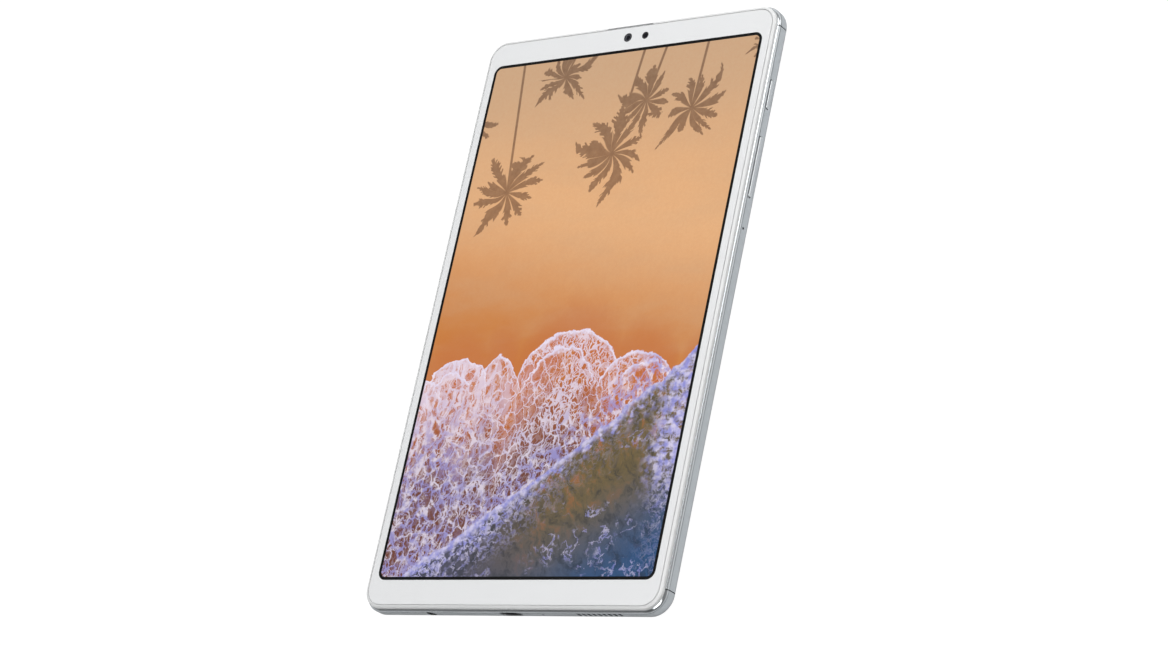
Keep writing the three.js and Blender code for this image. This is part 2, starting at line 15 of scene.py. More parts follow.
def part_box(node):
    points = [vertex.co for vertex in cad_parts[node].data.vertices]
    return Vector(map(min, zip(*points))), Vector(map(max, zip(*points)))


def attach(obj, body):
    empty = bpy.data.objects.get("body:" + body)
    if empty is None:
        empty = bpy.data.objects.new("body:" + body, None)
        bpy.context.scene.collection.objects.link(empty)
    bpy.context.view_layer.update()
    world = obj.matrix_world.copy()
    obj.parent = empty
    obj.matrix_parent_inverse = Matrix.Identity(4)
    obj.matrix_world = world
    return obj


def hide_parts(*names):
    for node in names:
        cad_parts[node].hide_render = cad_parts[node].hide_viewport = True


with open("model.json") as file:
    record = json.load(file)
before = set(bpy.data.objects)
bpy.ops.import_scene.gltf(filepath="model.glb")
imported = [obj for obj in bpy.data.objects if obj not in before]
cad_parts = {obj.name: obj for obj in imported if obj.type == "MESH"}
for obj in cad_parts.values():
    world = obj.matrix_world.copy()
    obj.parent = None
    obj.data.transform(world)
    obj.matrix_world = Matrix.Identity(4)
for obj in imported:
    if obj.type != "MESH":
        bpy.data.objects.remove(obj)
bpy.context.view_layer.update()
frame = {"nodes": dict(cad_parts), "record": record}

MM = 0.001


def box(node):
    """Lowest and highest corner of a CAD node, in millimetres."""
    lowest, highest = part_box(node)
    return lowest / MM, highest / MM


def middle_of(node):
    lowest, highest = box(node)
    return (lowest + highest) / 2


# ---- sizes, read from the frame where it has them ----

SHELL_LOW, SHELL_HIGH = box("rear_shell")
CAP_LOW, CAP_HIGH = box("top_end_cap")
RIM_HIGH = box("front_frame")[1]
GLASS_HIGH = box("cover_glass")[1]
PANEL_HIGH = box("display_panel")[1]

HALF_W = SHELL_HIGH.x
HALF_H = CAP_HIGH.y
SEAM_Y = (SHELL_HIGH.y + CAP_LOW.y) / 2
SEAM_GAP = CAP_LOW.y - SHELL_HIGH.y
SHELL_TOP = SHELL_HIGH.z
RIM_INSET = HALF_W - RIM_HIGH.x
GLASS_INSET = HALF_W - GLASS_HIGH.x
GLASS_TOP = GLASS_HIGH.z

CORNER = 7.4  # plan radius of the side wall
CORNER_EASE = 0.68  # how much the plan radius shrinks for each millimetre of inset
ARC_STEPS = 20  # segments in a quarter turn of the outline
REAR_ROUND = 2.7  # radius between the back and the side wall
SHOULDER_FROM = 5.1  # above it the metal leans inwards
SHOULDER_INSET = 0.75
SHOULDER_STEPS = 8
LIP = 0.015  # how far the foot of the shoulder stands back from the wall
GROOVE_HEIGHT = 0.14  # groove between the wall and the shoulder
GROOVE_DEPTH = 0.11
GROOVE_EASE = 0.02
WALL = 1.35
FLOOR = 0.8
SEAM_EASE = 0.07  # chamfer along the seams and the mouths of the holes
SEAM_WIDER = 0.05  # how far each side of a seam stands back from its CAD face
MIC_HOLE = 0.45  # radius
CAMERA_HOLE = 4.3
SPEAKER_SLOTS = (9, 1.2, 2.4, 1.0, 3.95)  # count, width, height, margin at the ends and Z
WEAVE_PITCH = 0.28

RIM_CREST = 7.75
RIM_INNER = 1.8
RIM_FOOT = 6.2
RIM_BEND = (7.0, 0.5, 68)  # foot, radius and degrees of the outer curve
RIM_LEDGES = [  # inset and height of each step on the inside
    (RIM_INNER, 7.35), (3.7, 7.35), (3.7, 6.55), (2.7, 6.4), (2.7, 5.45), (1.5, 5.45), (1.5, RIM_FOOT),
]

GLASS_BOTTOM = 7.7
GLASS_EDGE = [(0, 0.16), (0.02, 0.08), (0.07, 0.025), (0.15, 0)]  # inset and depth of its eased edge
PRINT = (7.66, 7.69)  # white and black ink behind the glass
WINDOW = (112.95, 189.45, 2.0)  # width, height and corner radius of the clear window
BLACK_BORDER = (115.15, 191.65, 3.25)
PICTURE_TOP = 7.65
LIT_AREA = (113.28, 189.74, 2.0)
FRONT_LENS = 1.65  # radii of the holes in the ink
SENSOR_WINDOW = 1.35

KEY_HEIGHT = 1.4
KEY_ROUND = 0.45  # end radius of a key, as a share of its height
KEY_MARGIN = 0.8  # how far the flange behind the wall reaches past the key
KEY_GAP = 0.25
KEY_FLANGE = (60.0, 60.5)
KEY_CROWN = [(0.14, 0), (0.07, -0.03), (0.03, -0.08), (0.01, -0.16), (0, -0.3)]  # depth and inset
TRAY_FACE = (18.4, 2.0)
TRAY_BACK = -61.35
TRAY_ARMS = ((1.0, 13.4), (-0.5, 0.3))  # Y from the end of the tray, Z from its middle
TRAY_WINDOW = (-56.3, -41.1)  # X of the opening for the card, and of the ledge round it
TRAY_LEDGE = (-56.6, -40.8)
PIN_HOLE = (0.5, 73.8)  # radius and Y
USB_WALL = 0.3
USB_BLADE = (3.35, 0.35)  # half the width and thickness of the tongue
USB_PINS = 12
USB_PIN = (0.125, 0.03)  # half width and relief
USB_PITCH = 0.5
JACK_BORE = 1.75
CONTACT_RING = [(-0.02, 3.0), (-0.02, 1.2), (-0.25, 1.3), (-0.25, 2.9)]  # radius past the bore, and depth

# Turned parts of the cameras, as radius and height of each step.
TRIM_RING = [
    (4.2, 0.75), (4.2, 0.1), (4.1, 0.02), (3.95, 0.0), (3.4, 0.0), (3.25, 0.05), (2.95, 0.28),
    (2.9, 0.33), (3.3, 0.33), (3.3, 0.75),
]
REAR_PANE = [(3.2, 0.75), (3.2, 0.4), (3.15, 0.35)]
REAR_FUNNEL = [
    (2.6, 3.4), (2.6, 1.4), (2.45, 1.4), (2.4, 1.5), (2.0, 1.5), (1.95, 1.62), (1.6, 1.62), (1.5, 1.75),
]
REAR_DOME = (1.4, 1.75, 0.25)  # radius, foot and height
FRONT_WELL = [(1.25, PRINT[0] - 0.02), (1.2, 7.5), (0.95, 7.46), (0.9, 7.5)]
SENSOR_WELL = [(0.8, PRINT[0] - 0.02), (0.75, 7.58), (0.1, 7.58)]

# Camera, lights and floor, in metres and degrees.
CAMERA_LENS = 94.46  # mm, for a sensor 36 mm wide
CAMERA_AT = (0.62834, -0.34414, 0.73419)
CAMERA_TARGET = (0.00766, -0.00642, 0.0077)
CAMERA_ROLL = 56.58
SOFTBOXES = [  # name, azimuth, elevation, distance, size and power
    ("key_light", 63, 56, 1.3, 1.0, 11.5),
    ("side_light", 40, 14, 1.4, 0.5, 0.8),
    ("front_light", -68, 58, 1.6, 0.9, 9),
    ("top_light", 0, 88, 1.6, 0.8, 5),
]
SKY_UPWARDS = (0.14, 0.5, 1.0, 0.2)  # from this height to that, the first strength to the second
SKY_SIDEWAYS = (-0.7, 0.1, 0.32, 1.0)  # the same along Y
SKY_SEEN = 1.1
FLOOR_LEVEL = -0.0001
FLOOR_SEEN = (1.15, 0.85)  # glow where the camera sees the floor, and its share


# ---- camera, lights and floor ----

def add_object(name, data):
    obj = bpy.data.objects.new(name, data)
    bpy.context.scene.collection.objects.link(obj)
    return obj


def add_camera():
    data = bpy.data.cameras.new("camera")
    data.sensor_width = 36
    data.lens = CAMERA_LENS
    data.clip_start = 0.05
    data.clip_end = 50
    camera = add_object("camera", data)
    look = Vector(CAMERA_TARGET) - Vector(CAMERA_AT)
    camera.location = CAMERA_AT
    camera.rotation_mode = "QUATERNION"
    roll = Quaternion((0, 0, 1), math.radians(-CAMERA_ROLL))
    camera.rotation_quaternion = look.to_track_quat("-Z", "Y") @ roll
    bpy.context.scene.camera = camera


def add_softbox(name, azimuth, elevation, distance, size, power):
    """Square area light aimed at the object; azimuth is measured from +X towards +Y."""
    data = bpy.data.lights.new(name, "AREA")
    data.shape = "SQUARE"
    data.size = size
    data.energy = power
    light = add_object(name, data)
    around = math.radians(azimuth)
    above = math.radians(elevation)
    flat = math.cos(above)
    away = Vector((flat * math.cos(around), flat * math.sin(around), math.sin(above)))
    light.location = away * distance
    light.rotation_mode = "QUATERNION"
    light.rotation_quaternion = (-away).to_track_quat("-Z", "Y")


def add_lights():
    for softbox in SOFTBOXES:
        add_softbox(*softbox)
    add_world()
    bpy.context.scene.view_settings.view_transform = "Standard"


def sky_change(tree, socket, span):
    """Strength that goes from one value to another along an axis of the sky."""
    change = tree.nodes.new("ShaderNodeMapRange")
    tree.links.new(socket, change.inputs["Value"])
    for bound, value in zip(change.inputs[1:5], span):
        bound.default_value = value
    return change.outputs[0]


def add_world():
    """Pale surroundings, darker overhead and towards -Y, that the camera sees as plain white."""
    world = bpy.data.worlds.new("studio")
    world.use_nodes = True
    tree = world.node_tree
    background = tree.nodes["Background"]
    split = tree.nodes.new("ShaderNodeSeparateXYZ")
    seen = tree.nodes.new("ShaderNodeLightPath")
    strength = tree.nodes.new("ShaderNodeMix")
    both = tree.nodes.new("ShaderNodeMath")
    both.operation = "MULTIPLY"
    tree.links.new(tree.nodes.new("ShaderNodeTexCoord").outputs["Generated"], split.inputs[0])
    tree.links.new(sky_change(tree, split.outputs["Z"], SKY_UPWARDS), both.inputs[0])
    tree.links.new(sky_change(tree, split.outputs["Y"], SKY_SIDEWAYS), both.inputs[1])
    tree.links.new(seen.outputs["Is Camera Ray"], strength.inputs[0])
    tree.links.new(both.outputs[0], strength.inputs[2])
    strength.inputs[3].default_value = SKY_SEEN
    tree.links.new(strength.outputs[0], background.inputs["Strength"])
    background.inputs["Color"].default_value = (1.0, 1.0, 1.0, 1)
    bpy.context.scene.world = world


# ---- material graphs ----

def linear(*channels):
    """Linear colour from red, green and blue given as 0 to 255 of a display."""
    shares = [channel / 255 for channel in channels]
    return tuple(s / 12.92 if s <= 0.04045 else ((s + 0.055) / 1.055) ** 2.4 for s in shares) + (1,)


class Field:
    """A number that varies over a surface. Arithmetic on it adds Math nodes to its graph."""

    def __init__(self, graph, socket):
        self.graph = graph
        self.socket = socket

    def __add__(self, other):
        return self.graph.math("ADD", self, other)

    def __sub__(self, other):
        return self.graph.math("SUBTRACT", self, other)

    def __rsub__(self, other):
        return self.graph.math("SUBTRACT", other, self)

    def __mul__(self, other):
        return self.graph.math("MULTIPLY", self, other)

    def __truediv__(self, other):
        return self.graph.math("DIVIDE", self, other)

    def __pow__(self, other):
        return self.graph.math("POWER", self, other)

    def __abs__(self):
        return self.graph.math("ABSOLUTE", self)

    def step(self, low, high):
        """0 below low, 1 above high and smooth between them; low may be the larger one."""
        inputs = {"Value": self, "From Min": low, "From Max": high}
        made = self.graph.node("MapRange", inputs, interpolation_type="SMOOTHSTEP")
        return Field(self.graph, made.outputs[0])

    def between(self, low, high):
        """Straight change from low to high as the field goes from 0 to 1."""
        return self * (high - low) + low


class Graph:
    """A material with a Principled shader, and short calls that add nodes to it."""

    def __init__(self, name, **constants):
        self.material = bpy.data.materials.new(name)
        self.material.use_nodes = True
        self.tree = self.material.node_tree
        self.shader = self.tree.nodes["Principled BSDF"]
        for socket, value in constants.items():
            self.shader.inputs[socket.replace("_", " ")].default_value = value
        here = self.tree.nodes.new("ShaderNodeTexCoord").outputs["Object"]
        self.place = self.scaled(here, (1000, 1000, 1000))
        split = self.tree.nodes.new("ShaderNodeSeparateXYZ")
        self.tree.links.new(self.place, split.inputs[0])
        self.x, self.y, self.z = (Field(self, socket) for socket in split.outputs)

    def feed(self, socket, value):
        """Links a field, a colour output or another socket to a socket, or sets a constant."""
        if isinstance(value, Field):
            value = value.socket
        if isinstance(value, bpy.types.NodeSocket):
            self.tree.links.new(value, socket)
        else:
            socket.default_value = value

    def node(self, kind, inputs, **settings):
        made = self.tree.nodes.new("ShaderNode" + kind)
        for name, value in settings.items():
            setattr(made, name, value)
        for key, value in inputs.items():
            self.feed(made.inputs[key], value)
        return made

    def math(self, operation, *values):
        return Field(self, self.node("Math", dict(enumerate(values)), operation=operation).outputs[0])

    def scaled(self, vector, factors):
        made = self.node("VectorMath", {0: vector, 1: factors}, operation="MULTIPLY")
        return made.outputs[0]

    def point(self, x, y, z=0.0):
        return self.node("CombineXYZ", {0: x, 1: y, 2: z}).outputs[0]

    def noise(self, size, detail=3.0, place=None, rough=0.55):
        """Soft noise from 0 to 1 whose blobs are about size millimetres across."""
        inputs = {"Vector": place or self.place, "Scale": 1 / size, "Detail": detail, "Roughness": rough}
        return Field(self, self.node("TexNoise", inputs).outputs["Fac"])

    def cells(self, size, place, feature="DISTANCE_TO_EDGE"):
        """Distance to the nearest edge, or centre, of cells about size millimetres across."""
        made = self.node("TexVoronoi", {"Vector": place, "Scale": 1 / size}, feature=feature)
        return Field(self, made.outputs["Distance"])

    def mix(self, factor, first, second, kind="MIX"):
        inputs = {0: factor, 6: first, 7: second}
        return self.node("Mix", inputs, data_type="RGBA", blend_type=kind).outputs[2]

    def show(self, made):
        """Puts a shader node on the surface instead of the Principled shader."""
        self.tree.links.new(made.outputs[0], self.tree.nodes["Material Output"].inputs["Surface"])
        return self.material

    def colour(self, value):
        self.feed(self.shader.inputs["Base Color"], value)

    def finish(self, colour, rough, height, relief):
        """Sets colour, roughness and relief, whose height is in millimetres."""
        self.colour(colour)
        self.feed(self.shader.inputs["Roughness"], rough)
        made = self.node("Bump", {"Height": height, "Distance": relief * MM, "Strength": 1.0})
        self.feed(self.shader.inputs["Normal"], made.outputs[0])
        return self.material


def shade(colour, factor):
    return tuple(min(channel * factor, 1.0) for channel in colour[:3]) + (1,)


def surface(name, colour, rough, grain=0.12, relief=0.004, tone=0.05, **constants):
    """A moulded, painted or blasted finish: fine grain, with slow drift of tone and gloss."""
    graph = Graph(name, **constants)
    speckle = graph.noise(grain, 2)
    blend = graph.noise(17, 4) * 0.65 + speckle * 0.35
    colour = graph.mix(blend, shade(colour, 1 - tone), shade(colour, 1 + tone))
    return graph.finish(colour, graph.noise(6).between(rough * 0.88, rough * 1.12), speckle, relief)


def brushed(name, colour, rough):
    """Rolled sheet metal with faint streaks along X."""
    graph = Graph(name, Metallic=1.0)
    streaks = graph.noise(0.5, 4, place=graph.scaled(graph.place, (0.08, 5, 5)))
    blend = streaks * 0.6 + graph.noise(9, 4) * 0.4
    colour = graph.mix(blend, shade(colour, 0.86), shade(colour, 1.08))
    return graph.finish(colour, streaks.between(rough * 0.75, rough * 1.25), streaks, 0.004)


def woven(name, hole, bright_wire):
    """Fine wire mesh: two sets of crossing wires, with the holes between them darker as painted shade."""
    graph = Graph(name, Metallic=0.8)
    turn = 2 * math.pi / WEAVE_PITCH
    waves = [graph.math("SINE", axis * turn) * 0.5 + 0.5 for axis in (graph.x, graph.y + graph.z)]
    wire = strongest(*waves)
    # dark between the wires: painted shade where the openings would show the dark inside
    colour = graph.mix(wire.step(0.55, 0.8), hole, bright_wire)
    return graph.finish(colour, graph.noise(1.5).between(0.35, 0.6), wire, 0.05)


def circuit(name):
    """Green solder mask over copper tracks, with tinned pads and small vias."""
    graph = Graph(name, Specular_IOR_Level=0.5)
    snapped = [graph.math("SNAP", axis, 0.5) for axis in (graph.x, graph.y)]
    runs = graph.cells(3.4, graph.point(*snapped), "F1")
    tracks = graph.math("PINGPONG", runs + graph.x * 0.35, 0.5).step(0.3, 0.36)
    pads = graph.cells(2.6, graph.point(graph.x, graph.y), "F1").step(0.11, 0.08)
    mask = graph.mix(tracks, linear(20, 62, 44), linear(34, 92, 62))
    colour = graph.mix(pads, mask, linear(196, 172, 112))
    return graph.finish(colour, graph.noise(2).between(0.32, 0.5), tracks + pads, 0.03)


def flexible(name):
    """Amber polyimide film with copper lines showing through along Y."""
    graph = Graph(name, Coat_Weight=0.3)
    lines = graph.math("PINGPONG", graph.x, 0.35).step(0.12, 0.2)
    base = graph.mix(lines, linear(150, 84, 26), linear(196, 122, 52))
    colour = graph.mix(graph.noise(3), base, linear(172, 100, 38))
    return graph.finish(colour, graph.noise(2).between(0.3, 0.45), lines, 0.02)


def foil(name):
    """Aluminium laminate of the battery pouch, with soft creases whose hollows are painted darker and
    ridges paler, as shade and highlight.
    """
    graph = Graph(name, Metallic=0.75)
    crease_relief_and_shade = graph.noise(9, 5, rough=0.65)
    fine = graph.noise(0.5)
    # darker in the hollows of the creases and paler on their ridges: painted shade and highlight
    colour = graph.mix(crease_relief_and_shade, linear(70, 72, 76), linear(112, 114, 118))
    return graph.finish(colour, fine.between(0.28, 0.44), crease_relief_and_shade * 0.8 + fine * 0.06, 0.25)


def diffusing(name):
    """Milky optical sheet with the fine dots that spread its light."""
    graph = Graph(name, Specular_IOR_Level=0.45)
    dots = graph.cells(0.9, graph.point(graph.x, graph.y), "F1").step(0.3, 0.2)
    colour = graph.mix(dots, linear(228, 232, 232), linear(248, 250, 250))
    return graph.finish(colour, graph.noise(3).between(0.25, 0.4), dots, 0.02)


# ---- picture on the screen ----

SAND_TOP = linear(207, 170, 134)
SAND_MIDDLE = linear(233, 180, 130)
SAND_LOW = linear(203, 127, 62)
WET_SAND = linear(196, 108, 58)
WET_DARK = linear(112, 66, 54)
FOAM = linear(240, 232, 250)
FOAM_SHADE = linear(150, 150, 222)
OLIVE = linear(112, 96, 62)
DEEP_BLUE = linear(46, 80, 122)
SLATE = linear(66, 72, 100)
DEPTHS = linear(34, 42, 52)
SHADOW = linear(166, 158, 156)  # what a shadow leaves of the sand's colour
FOAM_FOOT = -34.0  # where the swash lobes stand on
LOBES = [  # middle, half width and tip of each tongue of foam running up the sand
    (-60, 11, -22.5), (-43, 15, -17), (-25, 10, -16), (5, 23, -8.5), (34, 16, -17.5), (60, 9, -22),
]
INNER_LOBES = [(2, 15, -14), (38, 11, -21), (-44, 9, -22)]  # older rims inside the tongues
PALMS = [  # middle, reach of the fronds, how far they are turned, and lean of the trunk
    (34, 70, 21, 0.3, 0.06), (4, 56, 23, 1.7, 0.12), (-39, 45, 22, 2.9, -0.1), (14, 75, 17, 5.1, 0.2),
    (-24, 88, 16, 0.9, 0.35), (62, 93, 13, 2.2, 0.2), (-63, 70, 15, 4.4, 0.0), (66, 60, 12, 0.0, 0.0),
]
FRONDS = 11
LEAFLET = 0.8  # spacing of the leaflets along a frond


def random_per(graph, number, seed):
    """A fixed random share for each whole number."""
    made = graph.node("TexWhiteNoise", {"W": number + seed}, noise_dimensions="1D")
    return Field(graph, made.outputs["Value"])


def palm_shadow(graph, middle, reach, turned, lean):
    """Share of shadow from one palm seen from above: drooping feathery fronds and a thin trunk."""
    dx = graph.x - middle[0]
    dy = graph.y - middle[1]
    away = graph.math("SQRT", dx * dx + dy * dy)
    bend = graph.noise(reach * 1.1, detail=1) * 2.1
    turns = (graph.math("ARCTAN2", dy, dx) + bend + turned) * (FRONDS / (2 * math.pi))
    number = graph.math("FLOOR", turns)
    length = random_per(graph, number, reach) * 0.55 + 0.45
    nudge = random_per(graph, number, reach + 50) * 0.5 - 0.25
    off_axis = abs(turns - number - 0.5 + nudge) * away * (2 * math.pi / FRONDS)
    leaf = graph.math("FLOOR", (away - off_axis * 1.3) / LEAFLET)
    ragged = random_per(graph, leaf + number * 37, reach) * 0.95 + 0.3
    along = graph.math("MINIMUM", away / (length * reach), 1.0)
    width = graph.math("SINE", along ** 0.8 * math.pi) * ragged * (reach * 0.13) + 0.2
    width = graph.math("MINIMUM", width, away * 0.21 + 0.15)
    frond = (off_axis - width).step(0.25, -0.2) * along.step(1.0, 0.95)
    crown = away.step(1.6, 0.8)
    trunk = abs(dx - dy * lean).step(0.75, 0.3) * dy.step(0.0, 1.0)
    return strongest(frond, crown, trunk)


def strongest(*fields):
    total = fields[0]
    for field in fields[1:]:
        total = total.graph.math("MAXIMUM", total, field)
    return total


def shadows(graph):
    palms = [palm_shadow(graph, (x, y), reach, turned, lean) for x, y, reach, turned, lean in PALMS]
    return strongest(*palms) * graph.noise(2.4, 4).between(0.72, 1.1)


def dry_sand(graph, y, depth):
    """Sand in three tones under the shadows of the palms, wetter towards the foam."""
    sand = graph.mix(y.step(95, 35), SAND_TOP, SAND_MIDDLE)
    sand = graph.mix((y + graph.x * 0.18).step(38, -20), sand, SAND_LOW)
    dunes = graph.noise(22, 4, place=graph.point(graph.x * 0.5, graph.y * 1.6))
    sand = graph.mix(dunes.step(0.35, 0.75) * 0.3, sand, SAND_TOP)
    sand = graph.mix(graph.noise(0.9).step(0.2, 0.8) * 0.1, sand, WET_SAND)
    sand = graph.mix(shadows(graph), sand, graph.mix(1.0, sand, SHADOW, "MULTIPLY"))
    return graph.mix(depth.step(-16, 0) * 0.5, sand, WET_SAND)


def swash_lobe(graph, x, lobe):
    """Height of the edge of one tongue of foam at x."""
    middle, half, tip = lobe
    side = (x - middle) / half
    bow = graph.math("SQRT", strongest(1 - side * side, 0.0))
    return bow * (tip - FOAM_FOOT) + FOAM_FOOT


def swash_depth(graph, x, y):
    """How far a point lies below the uppermost edge of the foam."""
    return strongest(*[swash_lobe(graph, x, lobe) for lobe in LOBES]) - y


def swash_rims(graph, x, y):
    """Bright rims of the tongues of foam, also where they lie over one another."""
    rims = []
    for lobe in LOBES + INNER_LOBES:
        off = swash_lobe(graph, x, lobe) - y
        rim = off.step(-0.5, 0.2) * off.step(2.4, 0.3)
        rims.append(rim * (abs(x - lobe[0]) / lobe[1]).step(1.0, 0.93))
    return strongest(*rims)


def wave_front(x, y):
    """Height above the wave that comes in aslant."""
    rising = x + 4
    return y - (rising * 0.72 + rising * rising * 0.001 - 65)


def foam_net(graph, place, size, share):
    """Net of foam threads round cells about size across; share is how thick they are."""
    return graph.cells(size, place).step(share, share * 0.3)


def foam_threads(graph, size, share, place=None):
    """Wandering threads of foam, where soft noise passes its middle value."""
    ridge = abs(graph.noise(size, 5, place=place, rough=0.62) - 0.5)
    return ridge.step(share, share * 0.2)


def spent_foam(graph, x, y):
    """Thin foam running off wet sand, dense and streaked at the left and near the wave."""
    depth = swash_depth(graph, x, y)
    front = wave_front(x, y)
    left = x.step(6, -42)
    patches = graph.noise(11, 4).step(0.38, 0.62)
    near_wave = front.step(22, 3)
    crowded = strongest(left * 0.8, near_wave * 0.7)
    streaky = graph.point(x, y * 0.6)
    wide_net = foam_net(graph, streaky, 3.4, crowded * 0.09 + patches * 0.04 + 0.035)
    fine_net = foam_net(graph, streaky, 1.4, 0.14) * (patches * 0.6 + 0.12)
    runs = graph.noise(2.0, 6, place=graph.point(x + y * 0.12, y * 0.16))
    veil = runs.step(0.42, 0.62) * left * depth.step(62, 14)
    curls = foam_threads(graph, 5, 0.03) * crowded
    rims = swash_rims(graph, x, y) * 0.95
    white = strongest(wide_net * 0.74, fine_net, veil * 0.85, curls * 0.9, rims)
    bare = graph.noise(7, 4).step(0.4, 0.7) * depth.step(45, 8)
    wet = graph.mix(depth.step(4, 48), WET_SAND, WET_DARK)
    wet = graph.mix(bare * 0.7, wet, SAND_LOW)
    cold = strongest(left * depth.step(6, 40), near_wave)
    blue = graph.noise(3, 4).step(0.62, 0.4) * (cold * 0.75 + 0.15)
    return graph.mix(white, wet, graph.mix(blue, FOAM, FOAM_SHADE))


def deep_water(graph, x, y):
    """Clear water over sand that turns deep blue, with a foam crest and loose threads."""
    front = wave_front(x, y)
    water = graph.mix((front + x * 0.2).step(-12, -58), OLIVE, DEEP_BLUE)
    water = graph.mix(x.step(22, -30) * 0.8, water, SLATE)
    ripples = graph.noise(4, 7, place=graph.point(x + y * 0.7, y * 0.5 - x * 0.35), rough=0.65)
    water = graph.mix(ripples.step(0.45, 0.68) * 0.6, water, DEPTHS)
    glints = ripples.step(0.5, 0.32) * front.step(-46, -4) * x.step(-10, 15)
    water = graph.mix(glints * 0.45, water, WET_SAND)
    left = x.step(20, -20)
    near = front.step(-24, -2) * (left * 0.75 + 0.25)
    edge = x.step(43, 57) * y.step(-84, -62).between(0.25, 1.0)
    loose = graph.noise(15, 3).step(0.5, 0.62) * 0.6
    spread = strongest(near, edge * 0.9, loose)
    place = graph.point(x, y, 4.0)
    threads = foam_threads(graph, 8, 0.026, place) * spread
    curls = foam_threads(graph, 3.4, 0.034, place) * strongest(near, edge * 0.8)
    right_surf = x.step(40, 52) * y.step(-76, -56)
    surf = strongest(front.step(-13, -2), right_surf)
    churn = (graph.noise(2.6, 6) + right_surf * 0.09).step(0.47, 0.64) * surf
    crest = front.step(-4.2, -0.8)
    broken = strongest(threads, curls, churn, crest * 0.95)
    tint = graph.mix(graph.noise(2.5, 4).step(0.35, 0.65) * 0.7, FOAM_SHADE, FOAM)
    return graph.mix(broken * 0.92, water, tint)


def picture():
    """A beach seen from above: sand with palm shadows, spent foam, a wave and deep water."""
    graph = Graph("lit_picture", Roughness=0.6, Specular_IOR_Level=0.0)
    x = graph.x + (graph.noise(11, 5) - 0.5) * 7
    y = graph.y + (graph.noise(7, 5, place=graph.point(graph.y, graph.x)) - 0.5) * 7
    across = x + (graph.noise(2.2, 5) - 0.5) * 3
    down = y + (graph.noise(2.2, 5, place=graph.point(graph.y, graph.x, 9.0)) - 0.5) * 3
    depth = swash_depth(graph, x, y)
    sand = dry_sand(graph, y, depth)
    swash = spent_foam(graph, across, down)
    sea = deep_water(graph, across, down)
    shore = graph.mix(depth.step(-0.1, 0.1), sand, swash)
    whole = graph.mix(wave_front(x, y).step(0.4, -0.4), shore, sea)
    graph.colour((0.01, 0.01, 0.01, 1))
    graph.feed(graph.shader.inputs["Emission Color"], whole)
    graph.shader.inputs["Emission Strength"].default_value = 1.0
    return graph.material


# ---- glass ----

def clear_glass(name, tint):
    """Thin glass: what is behind shows through unbent, and its face mirrors more at a slant."""
    graph = Graph(name)
    graph.tree.nodes.remove(graph.shader)
    facing = graph.node("LayerWeight", {"Blend": 0.5}).outputs["Facing"]
    mirror = Field(graph, facing) ** 5 * 0.9 + 0.035
    smudges = graph.noise(24, 6).step(0.4, 0.75).between(0.01, 0.05)
    clear = graph.node("BsdfTransparent", {"Color": tint})
    gloss = graph.node("BsdfGlossy", {"Roughness": smudges})
    inputs = {0: mirror, 1: clear.outputs[0], 2: gloss.outputs[0]}
    return graph.show(graph.node("MixShader", inputs))


def pass_through(name):
    """The hidden lower face of a pane, which adds no second reflection."""
    graph = Graph(name)
    graph.tree.nodes.remove(graph.shader)
    return graph.show(graph.node("BsdfTransparent", {}))


# ---- mesh building ----

def rounded_rect(width, height, radius, centre=(0.0, 0.0), steps=ARC_STEPS):
    """Points of a rounded rectangle, anticlockwise."""
    points = []
    for quarter, (right, up) in enumerate([(1, 1), (-1, 1), (-1, -1), (1, -1)]):
        for step in range(steps + 1):
            angle = (quarter + step / steps) * math.pi / 2
            x = right * (width / 2 - radius) + radius * math.cos(angle)
            y = up * (height / 2 - radius) + radius * math.sin(angle)
            points.append((centre[0] + x, centre[1] + y))
    return points


def circle(radius, centre=(0.0, 0.0), steps=64):
    angles = [2 * math.pi * step / steps for step in range(steps)]
    return [(centre[0] + radius * math.cos(a), centre[1] + radius * math.sin(a)) for a in angles]


def outline(inset):
    """The tablet's outline seen from the front, moved inwards by inset."""
    return rounded_rect(2 * (HALF_W - inset), 2 * (HALF_H - inset), CORNER - CORNER_EASE * inset)


def at_z(points, z):
    return [Vector((x, y, z)) for x, y in points]


def at_x(points, x):
    """Points drawn in (y, z) and placed at x."""
    return [Vector((x, y, z)) for y, z in points]


def at_y(points, y):
    """Points drawn in (x, z) and placed at y."""
    return [Vector((x, y, z)) for x, z in points]


def build(name, loops, closed=False, materials=None):
    """Solid through loops of points: ends capped, or the last loop joined to the first.

    materials gives the material index of each band of faces, and of the last cap.
    """
    mesh_data = bmesh.new()
    rows = [[mesh_data.verts.new(point * MM) for point in loop] for loop in loops]
    indices = materials or [0] * len(rows)
    bands = len(rows) if closed else len(rows) - 1
    for band in range(bands):
        lower, upper = rows[band], rows[(band + 1) % len(rows)]
        for i, corner in enumerate(lower):
            j = (i + 1) % len(lower)
            face = mesh_data.faces.new((corner, lower[j], upper[j], upper[i]))
            face.material_index = indices[band]
    if not closed:
        mesh_data.faces.new(rows[0][::-1])
        mesh_data.faces.new(rows[-1]).material_index = indices[-1]
    bmesh.ops.recalc_face_normals(mesh_data, faces=mesh_data.faces)
    mesh = bpy.data.meshes.new(name)
    mesh_data.to_mesh(mesh)
    mesh_data.free()
    return add_object(name, mesh)


def block(name, low, high, radius=0.12, edge=0.06):
    """Box with rounded upright edges and eased rims."""
    size = [top - bottom for bottom, top in zip(low, high)]
    centre = [(bottom + top) / 2 for bottom, top in zip(low, high)]

    def loop(offset, z):
        points = rounded_rect(
            size[0] - 2 * offset, size[1] - 2 * offset, max(radius - offset, 0.01), centre[:2], 4,
        )
        return at_z(points, z)

    bottom = [loop(edge, low[2]), loop(0, low[2] + edge)]
    return build(name, bottom + [loop(0, high[2] - edge), loop(edge, high[2])])


def turned(name, profile, centre, materials=None, steps=64, closed=False):
    """Body of revolution about an upright axis; profile lists (radius, z)."""
    loops = [at_z(circle(radius, centre, steps), z) for radius, z in profile]
    return build(name, loops, closed, materials)


